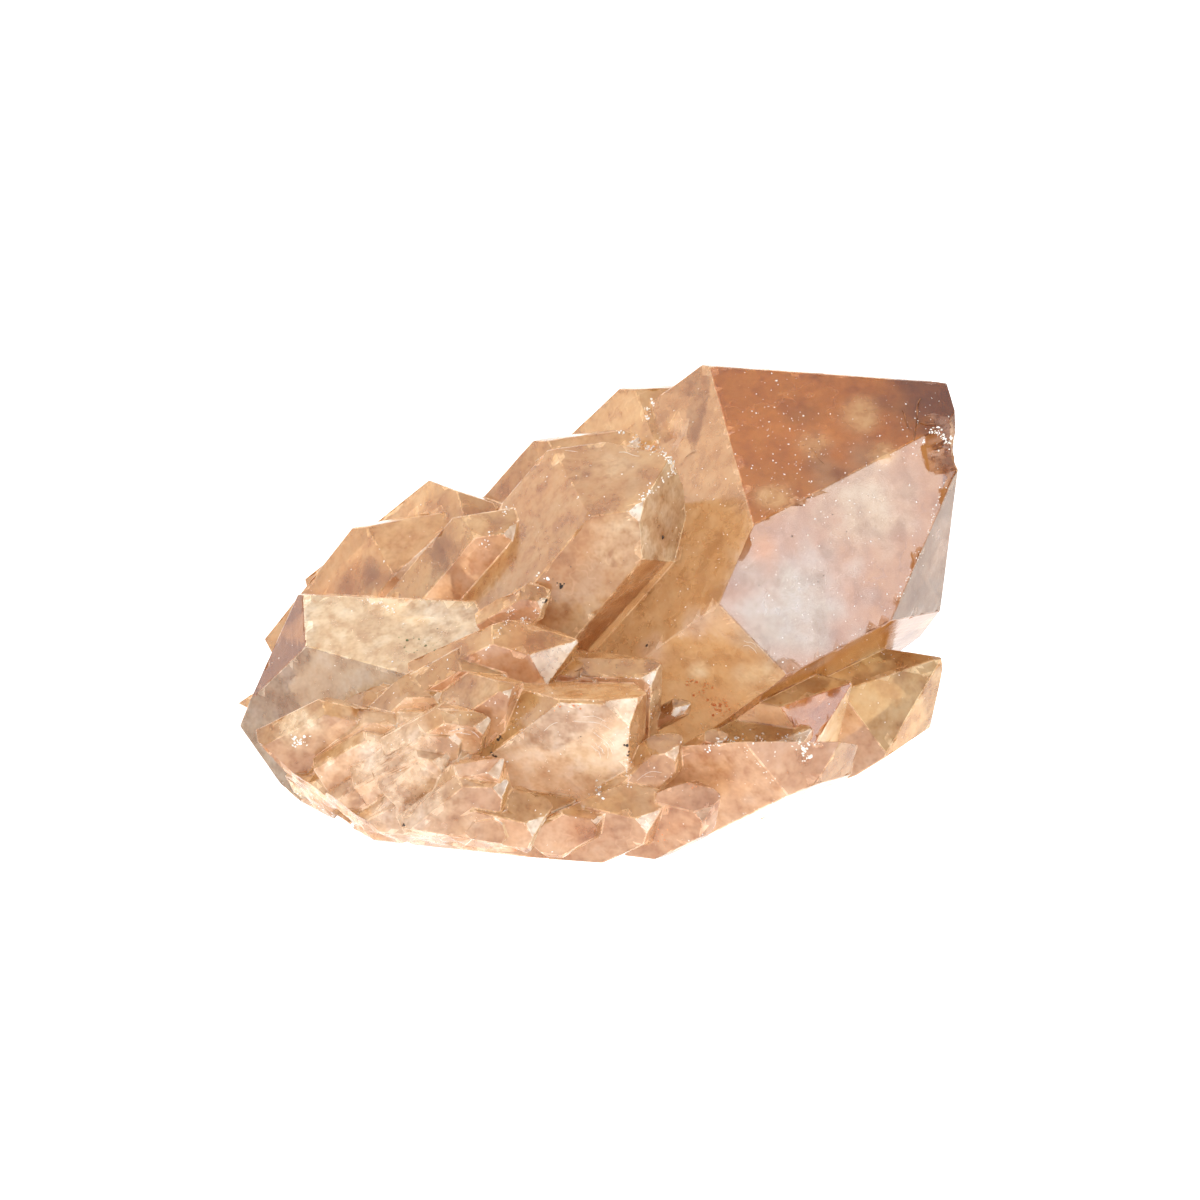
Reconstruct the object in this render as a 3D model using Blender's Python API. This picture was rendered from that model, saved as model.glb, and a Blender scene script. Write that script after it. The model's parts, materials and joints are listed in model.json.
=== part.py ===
"""Smoky citrine cluster: quartz crystals grown almost parallel and fused into one piece.

Every crystal is a block cut by the flat faces of quartz: six prism faces round its
axis and six cap faces that lean in to a point. All the crystals are joined into one
solid, then cut off flat underneath, where the cluster rests.

Places are given in millimetres as (right, up, near) in the view that shows the
cluster best: looking along +Y and down by VIEW_DOWN degrees. A turn is in degrees
about those same three directions, from the main crystal's own attitude.
"""
import math
import random

import bmesh
import bpy
from mathutils import Euler, Matrix, Vector

MM = 0.001

# Quartz: the angle between a cap face and the plane across the axis.
CAP_ANGLE = math.radians(51.79)
FACES_ROUND = 6

# The view that the places are measured in.
VIEW_DOWN = 20.0

# The main crystal's axis: its slope across the view, how far it leans toward the
# viewer, and how far its faces are turned about it.
MAIN_SLOPE = 36.0
MAIN_LEAN = 25.6
MAIN_SPIN = 108.1

# The plane it rests on, below the view's centre.
REST_BELOW = 21.0

# The blocks that crystals and half spaces start from, before their planes cut them.
CRYSTAL_BLOCK = 120.0
SPACE_BLOCK = 400.0

# The lower left was broken off its rock: each break's slant and one point of it.
BREAKS = [
    ((-0.62, -0.76, 0.20), (-27.4, -17.6, -1.0)),
    ((-0.15, -0.97, 0.20), (-15.4, -22.6, 4.0)),
]

# Faces closer than this angle are one flat face, and points closer than this are one.
FLAT_ANGLE = math.radians(0.6)
MERGE = 0.02

SEED = 23
COLOUR = (0.80, 0.62, 0.42, 1.0)

# name, tip, turn, prism face distances, cap face set-backs, length.
# The distances are from the crystal's axis to each of its six sides, and a set-back is
# how far below the tip a cap face crosses the axis (above it where negative).
LARGE = [
    ("main", (35.6, 18.2, -4.1), (0, 0, 0),
     (19.3, 14.6, 17.5, 3.5, 14.0, 13.1), (0, 0, -2.9, -1, 3.7, -0.6), 50),
    ("shield", (4.2, 9.4, 4.0), (-12, 1, 10),
     (1.3, 3.3, 12, 9, 12, 3.5), (0, 0, -10.4, -10, -9, 0), 34),
    ("low_right", (32.4, -5.4, -13.0), (-12, 0, -6),
     (6.4, 8, 7, 7, 5, 7.5), (0, 0, 0, 0, -0.8, 0), 34),
    ("left_slab", (-11.5, -4.6, 0.8), (-7, -12, 1),
     (6.0, 10, 18, 12, 14, 6), (0, 0, -7.1, -12, -14, 0), 24),
    ("rear_top", (12.0, 19.7, -12.1), (0, 0, 7),
     (5, 5, 7, 3, 5, 5), (0, 0, -1, 0, 0, 0), 30),
    ("rear_middle", (3.8, 15.6, -10.1), (0, 0, 12),
     (5, 5, 7, 3, 5, 5), (0, 0, -1, 0, 0, 0), 30),
    ("rear_left", (-5.3, 10.8, -12.1), (0, 0, 2),
     (5, 5, 7, 3, 5, 5), (0, 0, -1, 0, 3, 0), 26),
    ("rear_low", (-13.4, 7.9, -12.1), (0, 0, 15),
     (5, 5, 7, 3, 5, 5), (0, 0, -1, 0, 0, 0), 23),
    ("between", (-6.7, 8.2, -4.0), (-6, 4, 12),
     (2, 3.5, 5, 5, 5, 4), (0, 0, -1, -1, -1, 0), 28),
    ("front", (4.4, -6.9, 10.7), (8, -1, 4),
     (2.9, 5.3, 7, 7, 8, 7.5), (0, 0, 3.2, 0, 0, 0), 26),
    ("front_behind", (5.4, -6.3, 6.0), (0, -1, 3),
     (1.1, 6, 7, 6, 7, 5), (0, 0, -1.2, -1, -1, 0), 24),
    ("front_left", (-7.9, -8.0, 9.0), (3, -1, -2),
     (0.7, 0.9, 5, 5, 5, 4), (0, 0, -0.5, -2, -2, 0), 20),
    ("front_right", (23.6, -10.9, 7.2), (7, -3, -7),
     (5.8, 14, 9, 7, 7, 4.2), (0, -6, -4, -4, -2, 0), 40),
    ("under_main", (23.8, -7.7, -6.0), (-6, 0, -8),
     (4.5, 6, 5, 4, 4, 4), (0, 0, 0, 0, 0, 0), 22),
    ("glint_upper", (-1.9, -3.7, 5.5), (0, 0, -12),
     (3.0, 5, 4, 3, 3, 4), (0, 0, 0, 0, 0, 0), 16),
    ("glint_lower", (8.6, -9.5, 3.0), (0, 0, -8),
     (1.4, 1.1, 1, 1, 1, 0.8), (0, 0, 0, 0, 0, 0), 12),
]

# Roots: the thick feet of the cluster, which lie behind what the view shows.
ROOTS = [
    ("root_main", (15.0, -4.0, -9.0), (4, 6, 3), (7, 12, 12, 12, 12, 10), 36),
    ("root_left", (-9.0, -5.0, -9.0), (-5, -8, 6), (6, 8, 8, 10, 9, 9), 26),
    ("root_front", (4.0, -13.0, 0.0), (6, 3, -4), (6, 7, 9, 9, 8, 7), 30),
    ("root_right", (20.0, -12.0, -4.0), (3, -5, -8), (5, 6, 8, 8, 7, 6), 34),
    ("root_low", (-2.0, -18.5, 5.0), (3, 4, -5), (3, 4, 6, 6, 6, 5), 26),
]

# Extra flat cuts: where growth stopped against a neighbour that has since gone, or a
# corner was knocked off. Each is a normal and a point that the cut goes through.
CUTS = {
    "main": [((0.80, 0.05, 0.60), (33.2, 14.5, -3.6))],
    "low_right": [((0.53, -0.85, 0.0), (28.0, -14.2, -14.0)),
                  ((0.36, -0.93, -0.1), (20.5, -17.7, -14.0))],
    "left_slab": [((-0.915, 0.40, -0.05), (-31.5, -6.2, -10.0)),
                  ((-0.53, -0.15, 0.83), (-27.2, -4.5, -4.4))],
    "front_right": [((-0.03, 0.97, -0.12), (14.9, -13.2, 8.0))],
    "rear_left": [((0.30, 0.95, 0.05), (-13.5, 10.3, -12.0))],
}

# Small crystals of the front: name, tip, width, turn, how deep the prism face that
# looks at the viewer is, and how wide its upper side is, both as parts of the width.
SMALL = [
    ("crumb_a", (-7.7, -6.3, 5.0), 3.2, (4, 6, -4), 0.35, 1.0),
    ("crumb_b", (-13.8, -7.8, 3.5), 2.8, (-8, 5, 6), 0.5, 1.0),
    ("crumb_c", (-17.9, -10.1, 2.0), 2.6, (6, -9, -8), 0.3, 1.0),
    ("crumb_d", (-13.5, -14.0, 7.5), 2.2, (5, 8, -6), 0.6, 1.0),
    ("crumb_e", (-18.5, -12.4, 3.2), 2.0, (-6, -8, 10), 0.4, 1.4),
    ("crumb_f", (-11.8, -18.2, 7.0), 2.0, (8, -4, -3), 0.5, 1.4),
    ("crumb_g", (-16.4, -16.8, 5.0), 2.2, (-9, 6, 8), 0.7, 1.0),
    ("crumb_h", (-22.2, -13.2, 0.0), 2.4, (-8, -10, 9), 0.5, 1.3),
    ("crumb_i", (-23.1, -17.7, 1.0), 2.4, (5, 10, 14), 0.6, 1.0),
    ("crumb_j", (-18.8, -19.2, 4.5), 1.8, (9, -7, -5), 0.4, 1.0),
    ("crumb_k", (-4.9, -19.8, 9.0), 2.8, (4, 9, -9), 0.5, 1.5),
    ("crumb_l", (-16.0, -11.4, 4.6), 1.5, (7, -7, -9), 0.4, 1.0),
    ("crumb_m", (-8.9, -15.5, 9.2), 1.6, (-5, 6, 4), 0.5, 1.0),
    ("crumb_n", (5.8, -19.2, 8.6), 2.7, (6, 3, -8), 0.6, 1.6),
    ("crumb_o", (0.4, -19.8, 9.0), 1.6, (-4, 6, -6), 0.5, 1.5),
    ("crumb_p", (10.6, -18.9, 9.0), 2.4, (5, -6, -9), 0.5, 1.4),
    ("crumb_q", (7.5, -13.2, 7.5), 1.9, (-7, 8, 8), 0.6, 1.0),
    ("crumb_r", (11.6, -12.9, 6.5), 1.2, (4, -9, -6), 0.5, 1.0),
    ("crumb_s", (-4.8, 0.4, 3.2), 1.6, (-3, 6, -5), 0.5, 1.0),
    ("crumb_t", (-6.3, -3.7, 4.4), 1.3, (6, -5, 6), 0.5, 1.0),
    ("crumb_u", (0.2, -7.1, 5.4), 1.2, (-4, 8, -6), 0.5, 1.0),
]

# How many times its width a small crystal is long.
SMALL_SLIM = 4.5

# Rows of crystals, each from a first to a last tip: a close jumble over the lower front,
# and larger ones on the back, which no view of the specimen shows.
FRONT_ROWS = [
    # first tip, last tip, count, width
    ((-20.0, -10.6, 3.2), (-9.5, -11.2, 9.0), 5, 2.3),
    ((-23.0, -13.6, 2.0), (-8.5, -13.8, 9.6), 6, 2.2),
    ((-24.0, -16.4, 1.8), (-8.0, -16.6, 9.6), 7, 2.1),
    ((-21.0, -19.2, 3.6), (-9.0, -19.4, 9.4), 5, 2.0),
]
BACK_ROWS = [
    ((-21.0, -15.0, -17.0), (13.0, -15.0, -17.0), 6, 3.8),
    ((-15.0, -7.0, -19.0), (18.0, -7.0, -19.0), 5, 4.6),
    ((-8.0, 2.0, -18.0), (9.0, 2.0, -18.0), 3, 4.8),
]
# The forms that a row repeats: prism face distances, how deep its crystals' last cap
# face may be cut, and their length, all as parts of the width, then how far tips wander,
# in mm, and how far crystals turn, in degrees.
FRONT_FORM = ((0.5, 1.1, 1.2, 1.1, 1.0, 0.9), 0.4, 4.0, 0.8, 14.0)
BACK_FORM = ((1.4, 1.0, 0.9, 0.8, 1.0, 1.1), 0.6, 6.0, 1.6, 11.0)


def view_to_world():
    """Rotation from (right, up, near) to world axes."""
    down = math.radians(VIEW_DOWN)
    right = Vector((1, 0, 0))
    up = Vector((0, math.sin(down), math.cos(down)))
    near = Vector((0, -math.cos(down), math.sin(down)))
    return Matrix((right, up, near)).transposed()


def main_attitude():
    """The main crystal's frame in the view: its first side, its second, its axis."""
    slope, lean, spin = (math.radians(v) for v in (MAIN_SLOPE, MAIN_LEAN, MAIN_SPIN))
    flat = Vector((math.cos(slope), math.sin(slope), 0))
    axis = flat * math.cos(lean) + Vector((0, 0, math.sin(lean)))
    side = Vector((-math.sin(slope), math.cos(slope), 0))
    first = side * math.cos(spin) + axis.cross(side) * math.sin(spin)
    return Matrix((first, axis.cross(first), axis)).transposed()


def attitude(turn):
    """The frame of a crystal turned a little from the main one."""
    return Euler([math.radians(v) for v in turn], "XYZ").to_matrix() @ main_attitude()


def quartz_planes(tip, turn, sides, caps, length):
    """The planes of one crystal, as (point, outward normal), in the view's frame."""
    frame = attitude(turn)
    axis = frame.col[2]
    tip = Vector(tip)
    planes = [(tip - axis * length, -axis)]
    for number in range(FACES_ROUND):
        round_angle = -2 * math.pi * number / FACES_ROUND
        side = frame @ Vector((math.cos(round_angle), math.sin(round_angle), 0))
        cap = side * math.sin(CAP_ANGLE) + axis * math.cos(CAP_ANGLE)
        planes.append((tip + side * sides[number], side))
        planes.append((tip - axis * caps[number], cap))
    return planes


def cut_block(name, planes, centre, size):
    """A closed mesh object: a block with everything outside the planes cut off."""
    bm = bmesh.new()
    bmesh.ops.create_cube(bm, size=size, matrix=Matrix.Translation(centre))
    for point, normal in planes:
        everything = bm.verts[:] + bm.edges[:] + bm.faces[:]
        cut = bmesh.ops.bisect_plane(bm, geom=everything, plane_co=point, plane_no=normal,
                                     dist=1e-5, clear_outer=True)
        rim = [item for item in cut["geom_cut"] if isinstance(item, bmesh.types.BMEdge)]
        open_rim = [edge for edge in rim if edge.is_boundary]
        if open_rim:
            bmesh.ops.edgeloop_fill(bm, edges=open_rim)
    bmesh.ops.recalc_face_normals(bm, faces=bm.faces[:])
    mesh = bpy.data.meshes.new(name)
    bm.to_mesh(mesh)
    bm.free()
    return bpy.data.objects.new(name, mesh)


def crystal(name, tip, turn, sides, caps, length):
    """One crystal with its extra cuts."""
    planes = quartz_planes(tip, turn, sides, caps, length)
    for normal, point in CUTS.get(name, []):
        planes.append((Vector(point), Vector(normal).normalized()))
    middle = Vector(tip) - attitude(turn).col[2] * (length / 2)
    return cut_block(name, planes, middle, CRYSTAL_BLOCK)


def root(name, tip, turn, sides, length):
    """A blunt crystal foot, its caps all level with its tip."""
    return crystal(name, tip, turn, sides, (0,) * FACES_ROUND, length)


def small_crystal(name, tip, width, turn, depth, upper):
    """A small crystal: one broad prism face, a small cap at its top right."""
    sides = [width * part for part in (depth, upper, 1.3, 1.2, 1.0, 0.9)]
    caps = [width * part for part in (0, 0, -0.8, -0.8, -0.4, 0)]
    return crystal(name, tip, turn, sides, caps, SMALL_SLIM * width)


def rows_of_crystals(name, rows, form, rng):
    """Rows of crystals, each turned, sized and placed a little differently."""
    parts, deepest, slim, wander, most_turn = form
    made = []
    for row, (first, last, count, width) in enumerate(rows):
        for number in range(count):
            tip = Vector(first).lerp(Vector(last), number / (count - 1))
            tip += Vector([rng.uniform(-wander, wander) for _ in range(3)])
            turn = [rng.uniform(-most_turn, most_turn) for _ in range(3)]
            size = width * rng.uniform(0.8, 1.25)
            sides = [size * part for part in parts]
            caps = [0, 0, 0, size * rng.uniform(0, deepest), 0, 0]
            made.append(crystal(f"{name}_{row}_{number}", tip, turn, sides, caps, slim * size))
    return made


def boolean(body, other, operation):
    """Join the other object to the body, or cut it away, and remove it."""
    bpy.context.collection.objects.link(other)
    step = body.modifiers.new(operation.lower(), "BOOLEAN")
    step.operation = operation
    step.object = other
    step.solver = "EXACT"
    evaluated = body.evaluated_get(bpy.context.evaluated_depsgraph_get())
    result = bpy.data.meshes.new_from_object(evaluated)
    body.modifiers.clear()
    old = body.data
    body.data = result
    bpy.data.meshes.remove(old)
    bpy.data.objects.remove(other, do_unlink=True)


def half_space(name, point, normal):
    """A block that fills everything on the outer side of a plane."""
    return cut_block(name, [(Vector(point), -Vector(normal).normalized())],
                     Vector(point), SPACE_BLOCK)


def tidy_mesh(mesh):
    """Merge near points and take out edges that divide one flat face."""
    bm = bmesh.new()
    bm.from_mesh(mesh)
    bmesh.ops.remove_doubles(bm, verts=bm.verts[:], dist=MERGE)
    bmesh.ops.dissolve_degenerate(bm, edges=bm.edges[:], dist=MERGE)
    bmesh.ops.dissolve_limit(bm, angle_limit=FLAT_ANGLE, verts=bm.verts[:], edges=bm.edges[:])
    bmesh.ops.triangulate(bm, faces=bm.faces[:])
    bm.to_mesh(mesh)
    bm.free()


def quartz_material():
    """Clear warm quartz."""
    material = bpy.data.materials.new("citrine")
    material.use_nodes = True
    shader = material.node_tree.nodes["Principled BSDF"]
    shader.inputs["Base Color"].default_value = COLOUR
    shader.inputs["Roughness"].default_value = 0.12
    shader.inputs["Metallic"].default_value = 0.0
    return material


def build():
    for old in list(bpy.data.objects):
        bpy.data.objects.remove(old, do_unlink=True)
    home = bpy.data.collections.new("citrine_cluster")
    bpy.context.scene.collection.children.link(home)

    rng = random.Random(SEED)
    pieces = [crystal(*spec) for spec in LARGE]
    pieces += [root(*spec) for spec in ROOTS]
    pieces += [small_crystal(*spec) for spec in SMALL]
    pieces += rows_of_crystals("back_row", BACK_ROWS, BACK_FORM, rng)
    pieces += rows_of_crystals("front_row", FRONT_ROWS, FRONT_FORM, rng)

    cluster = pieces.pop(0)
    home.objects.link(cluster)
    for piece in pieces:
        boolean(cluster, piece, "UNION")
    for normal, point in BREAKS:
        boolean(cluster, half_space("break", point, normal), "DIFFERENCE")

    turn = view_to_world()
    floor_point = turn.transposed() @ Vector((0, 0, -REST_BELOW))
    floor_normal = turn.transposed() @ Vector((0, 0, -1))
    boolean(cluster, half_space("rest", floor_point, floor_normal), "DIFFERENCE")

    tidy_mesh(cluster.data)
    cluster.data.transform(turn.to_4x4())
    corners = [vertex.co for vertex in cluster.data.vertices]
    low = [min(co[axis] for co in corners) for axis in range(3)]
    high = [max(co[axis] for co in corners) for axis in range(3)]
    centre = Vector(((low[0] + high[0]) / 2, (low[1] + high[1]) / 2, low[2]))
    cluster.data.transform(Matrix.Scale(MM, 4) @ Matrix.Translation(-centre))

    cluster.name = "citrine_cluster"
    cluster.data.name = "citrine_cluster"
    cluster.data.materials.clear()
    cluster.data.materials.append(quartz_material())
    print("view centre in the part's frame, mm:", [round(-v, 3) for v in centre])
    print("size, mm:", [round(high[axis] - low[axis], 2) for axis in range(3)],
          "faces:", len(cluster.data.polygons))


build()
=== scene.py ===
# %% [markdown]
# # A smoky citrine cluster
#
# This lesson dresses one mineral specimen: quartz crystals that grew almost parallel and
# fused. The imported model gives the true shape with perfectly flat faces. A real crystal is
# never that clean. Its faces are a little wavy, its edges are chipped, it is cloudy inside,
# and it has dust on it. Each cell below adds one of those, from the largest to the finest.

# %% Load the fixed frame
import json
import math
import random

import bmesh
import bpy
import numpy as np
from mathutils import Matrix, Vector, noise
from mathutils.bvhtree import BVHTree

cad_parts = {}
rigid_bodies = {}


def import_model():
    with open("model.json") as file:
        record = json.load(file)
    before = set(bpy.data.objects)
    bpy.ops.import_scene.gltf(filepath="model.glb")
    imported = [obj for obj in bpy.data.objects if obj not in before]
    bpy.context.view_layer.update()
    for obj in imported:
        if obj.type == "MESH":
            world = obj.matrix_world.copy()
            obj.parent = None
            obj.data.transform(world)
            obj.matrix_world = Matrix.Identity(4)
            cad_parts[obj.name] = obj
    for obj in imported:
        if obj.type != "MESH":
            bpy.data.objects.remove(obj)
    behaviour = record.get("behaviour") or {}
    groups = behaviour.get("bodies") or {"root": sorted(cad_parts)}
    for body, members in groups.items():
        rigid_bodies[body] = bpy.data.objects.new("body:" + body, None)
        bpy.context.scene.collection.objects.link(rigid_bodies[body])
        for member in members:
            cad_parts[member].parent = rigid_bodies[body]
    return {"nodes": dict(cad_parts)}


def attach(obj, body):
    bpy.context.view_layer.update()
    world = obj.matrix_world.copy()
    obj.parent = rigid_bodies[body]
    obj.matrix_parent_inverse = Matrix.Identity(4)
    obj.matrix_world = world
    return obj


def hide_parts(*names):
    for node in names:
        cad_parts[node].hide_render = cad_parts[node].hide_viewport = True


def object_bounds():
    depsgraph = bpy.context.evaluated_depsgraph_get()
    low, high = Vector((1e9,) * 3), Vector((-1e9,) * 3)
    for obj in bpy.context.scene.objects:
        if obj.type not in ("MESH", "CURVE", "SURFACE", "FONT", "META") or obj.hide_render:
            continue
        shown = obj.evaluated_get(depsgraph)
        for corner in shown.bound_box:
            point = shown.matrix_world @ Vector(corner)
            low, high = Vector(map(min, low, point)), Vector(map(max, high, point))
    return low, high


for old in list(bpy.data.objects):
    bpy.data.objects.remove(old, do_unlink=True)
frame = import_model()
cad_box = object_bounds()
CAD_NODE = "citrine_cluster"
MM = 0.001
print("model box, mm:", [[round(v / MM, 1) for v in corner] for corner in cad_box])

# %% [markdown]
# ## The photograph's view
#
# Places on the specimen are easiest to name as the photograph shows them: so far right, so
# far up, and so far toward the viewer. One function turns such a place into the model's own
# coordinates. Directions turn the same way, without the shift.

# %% Places and directions in the photograph's view
VIEW_DOWN = math.radians(20)
VIEW_CENTRE = Vector((0.757, -8.306, 21.0)) * MM
VIEW_AXES = Matrix((
    (1, 0, 0),
    (0, math.sin(VIEW_DOWN), math.cos(VIEW_DOWN)),
    (0, -math.cos(VIEW_DOWN), math.sin(VIEW_DOWN)),
)).transposed()


def direction(right, up, near):
    """A direction of the view in the model's frame."""
    return VIEW_AXES @ Vector((right, up, near)).normalized()


def place(right, up, near):
    """A place of the view, in mm from its centre, in the model's frame in metres."""
    return VIEW_CENTRE + VIEW_AXES @ Vector((right, up, near)) * MM


CAMERA_DISTANCE = 0.9
VIEW_DIRECTION = direction(0, 0, 1)
EYE = place(0, 0, 0) + VIEW_DIRECTION * CAMERA_DISTANCE


def seen(tree, right, up):
    """What the camera meets at (right, up): its place, normal and face number, or None."""
    hit, normal, number, _ = tree.ray_cast(EYE, (place(right, up, 0) - EYE).normalized())
    return None if hit is None else (hit, normal, number)


# %% [markdown]
# ## How quartz grows
#
# Quartz has a long axis with six prism faces round it and six cap faces that lean in to the
# point. In this cluster all crystals are nearly parallel, so the axis of the large one
# serves for them all. Its attitude is the same as in the solid model: slope across the
# view, lean toward the viewer and spin about the axis.

# %% The crystal axes
MAIN_SLOPE, MAIN_LEAN, MAIN_SPIN = (math.radians(v) for v in (36.0, 25.6, 108.1))
CAP_ANGLE = math.radians(51.79)

flat = Vector((math.cos(MAIN_SLOPE), math.sin(MAIN_SLOPE), 0))
long_axis = flat * math.cos(MAIN_LEAN) + Vector((0, 0, math.sin(MAIN_LEAN)))
side = Vector((-math.sin(MAIN_SLOPE), math.cos(MAIN_SLOPE), 0))
first = side * math.cos(MAIN_SPIN) + long_axis.cross(side) * math.sin(MAIN_SPIN)
second = long_axis.cross(first)


def prism_normal(number):
    """The outward direction of a prism face, counted from 1."""
    angle = -math.tau / 6 * (number - 1)
    return direction(*(first * math.cos(angle) + second * math.sin(angle)))


C_AXIS = direction(*long_axis)
PRISM = [prism_normal(number) for number in range(1, 7)]
CAPS = [normal * math.sin(CAP_ANGLE) + C_AXIS * math.cos(CAP_ANGLE) for normal in PRISM]
print("long axis:", [round(v, 2) for v in C_AXIS])

# %% [markdown]
# ## Helpers for modelling by hand
#
# Every operator acts on what is selected, so a small helper clears the selection, makes one
# object active, and steps into edit mode. Faces and edges are then chosen in code by their
# size, place or direction.


# %% Selection helpers
def only(thing):
    """Make one object the active and only selected one."""
    if bpy.context.object and bpy.context.object.mode != "OBJECT":
        bpy.ops.object.mode_set(mode="OBJECT")
    bpy.ops.object.select_all(action="DESELECT")
    thing.select_set(True)
    bpy.context.view_layer.objects.active = thing


def pick_edges(thing, wanted):
    """In edit mode, select just the edges for which wanted(edge) is true, and count them."""
    bpy.ops.mesh.select_mode(type="EDGE")
    bpy.ops.mesh.select_all(action="DESELECT")
    bm = bmesh.from_edit_mesh(thing.data)
    picked = [edge for edge in bm.edges if wanted(edge)]
    for edge in picked:
        edge.select_set(True)
    bmesh.update_edit_mesh(thing.data)
    return len(picked)


# %% [markdown]
# ## The crystals
#
# The model's mesh is a set of loose triangles. A copy of it is merged and its flat faces
# are made whole again, so that what is left are the true edges of the crystals. Those edges
# get a very narrow bevel, a tenth of a millimetre, because that is where real crystals are
# bruised and catch the light. A wider bevel would look like cast resin. Before the bevel,
# the whole facets are kept in a search tree, which later tells to which facet a place belongs.

# %% Copy, merge and bevel
EDGE_WIDTH = 0.10 * MM
MERGE_GAP = 0.02 * MM
FLAT = math.radians(0.7)
SHARP = math.radians(14)

crystals = frame["nodes"][CAD_NODE].copy()
crystals.data = crystals.data.copy()
crystals.parent = None
crystals.name = crystals.data.name = "citrine_crystals"
for key in list(crystals.keys()):
    del crystals[key]
bpy.context.scene.collection.objects.link(crystals)

only(crystals)
bpy.ops.object.mode_set(mode="EDIT")
bpy.ops.mesh.select_all(action="SELECT")
bpy.ops.mesh.remove_doubles(threshold=MERGE_GAP)
bpy.ops.mesh.dissolve_limited(angle_limit=FLAT)
whole_facets = bmesh.from_edit_mesh(crystals.data)
whole_facets.faces.index_update()
facet_tree = BVHTree.FromBMesh(whole_facets)
facet_normals = [face.normal.copy() for face in whole_facets.faces]
print("facets:", len(facet_normals))
count = pick_edges(crystals, lambda e: len(e.link_faces) == 2 and e.calc_face_angle() > SHARP)
bpy.ops.mesh.bevel(offset=EDGE_WIDTH, segments=1, affect="EDGES", clamp_overlap=False)
print("bevelled edges:", count)

# %% [markdown]
# ## More points on the flat faces
#
# A flat face with points only at its corners can't be made wavy. Every edge longer than a
# millimetre is cut in two and the faces are turned to triangles again, a few times over.
# Cutting only the long edges keeps the triangles even, which a plain subdivide all over
# wouldn't.

# %% Divide the flat faces
LONGEST_EDGE = 1.0 * MM
SPLITS = 6


def make_triangles():
    """In edit mode, turn every face into well-shaped triangles."""
    bpy.ops.mesh.select_all(action="SELECT")
    bpy.ops.mesh.quads_convert_to_tris(quad_method="BEAUTY", ngon_method="BEAUTY")


make_triangles()
for split in range(SPLITS):
    count = pick_edges(crystals, lambda e: e.calc_length() > LONGEST_EDGE)
    bpy.ops.mesh.subdivide(number_cuts=1)
    make_triangles()
    print("split", split, "long edges:", count)
bpy.ops.object.mode_set(mode="OBJECT")
print("triangles:", len(crystals.data.polygons))

# %% [markdown]
# ## The same order in every run
#
# The operators give the same triangles each time, but not always in the same order, and
# what is later picked by number would then change from run to run. So the mesh is built
# once more from its own points and triangles, both sorted. That also drops the stored
# shading normals of the flat model, which would hide the waves and chips made next.

# %% Put the points and triangles in order
def read_points(points, what="co"):
    """The places or directions of a mesh's points as an array with a row for each."""
    numbers = np.empty(len(points) * 3, np.float32)
    points.foreach_get(what, numbers)
    return numbers.reshape(-1, 3)


def put_in_order(mesh):
    """Build a mesh of triangles again, with its points and triangles sorted."""
    places = read_points(mesh.vertices)
    order = np.lexsort(places.T)
    new_number = np.empty(len(order), int)
    new_number[order] = np.arange(len(order))
    corners = np.empty(len(mesh.loops), np.int32)
    mesh.loops.foreach_get("vertex_index", corners)
    faces = new_number[corners].reshape(-1, 3)
    turn = (faces.argmin(axis=1)[:, None] + np.arange(3)) % 3
    faces = np.take_along_axis(faces, turn, axis=1)
    faces = faces[np.lexsort(faces.T)]
    mesh.clear_geometry()
    mesh.from_pydata(places[order].tolist(), [], faces.tolist())


put_in_order(crystals.data)
print("triangles in order:", len(crystals.data.polygons))
print("stored normals left:", crystals.data.has_custom_normals)

# %% [markdown]
# ## Waves and chips
#
# A grown face is flat only to the eye that looks straight at it. Its growth steps make
# gentle waves a few hundredths of a millimetre high, and they are what breaks up a
# reflection. Edges are chipped: bits are missing where a smooth noise is high. Both are
# moves of the mesh's points along their normals, as a sculptor's brush makes them.

# %% Waves, chips, breaks and bites
# how long and how high the waves are
WAVES = ((5.0 * MM, 0.030 * MM), (1.8 * MM, 0.012 * MM))
WAVE_SHIFT = Vector((7, 3, 1))
# chips along the edges: the noise has two sizes, and a bit is missing above the level
CHIP_SIZE, CHIP_FINER = 0.9 * MM, 0.4
CHIP_SHARES = (0.7, 0.5)
CHIP_DEPTH = 0.42 * MM
CHIP_LEVEL = 0.12
# points this near to the floor stay, so that the cluster sits flat
FLOOR_GUARD = 0.4 * MM
# where the cluster was broken off: rough, not flat
BREAK_NORMALS = [direction(-0.62, -0.76, 0.20), direction(-0.15, -0.97, 0.20)]
BREAK_LIMIT = 0.985
BREAK_ROUGHNESS = ((2.6 * MM, 0.75 * MM), (1.1 * MM, 0.40 * MM))
# knocked corners: a place (right, up), the radius of the bite and its depth in mm
BITES = [((32.4, 13.9), 2.2, 0.8), ((31.2, 16.2), 1.4, 0.4), ((17.3, -6.8), 1.2, 0.4),
         ((-8.0, 0.4), 1.5, 0.5), ((-29.5, -0.2), 1.5, 0.5), ((6.9, 15.6), 1.6, 0.5)]
BITE_GRAIN = 0.8 * MM


def near_edges(thing):
    """For each point, True if it lies on a narrow bevelled edge."""
    mesh = thing.data
    turned = np.zeros(len(mesh.vertices), bool)
    bm = bmesh.new()
    bm.from_mesh(mesh)
    for edge in bm.edges:
        if len(edge.link_faces) == 2 and edge.calc_face_angle() > SHARP / 2:
            for point in edge.verts:
                turned[point.index] = True
    bm.free()
    return turned


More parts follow.
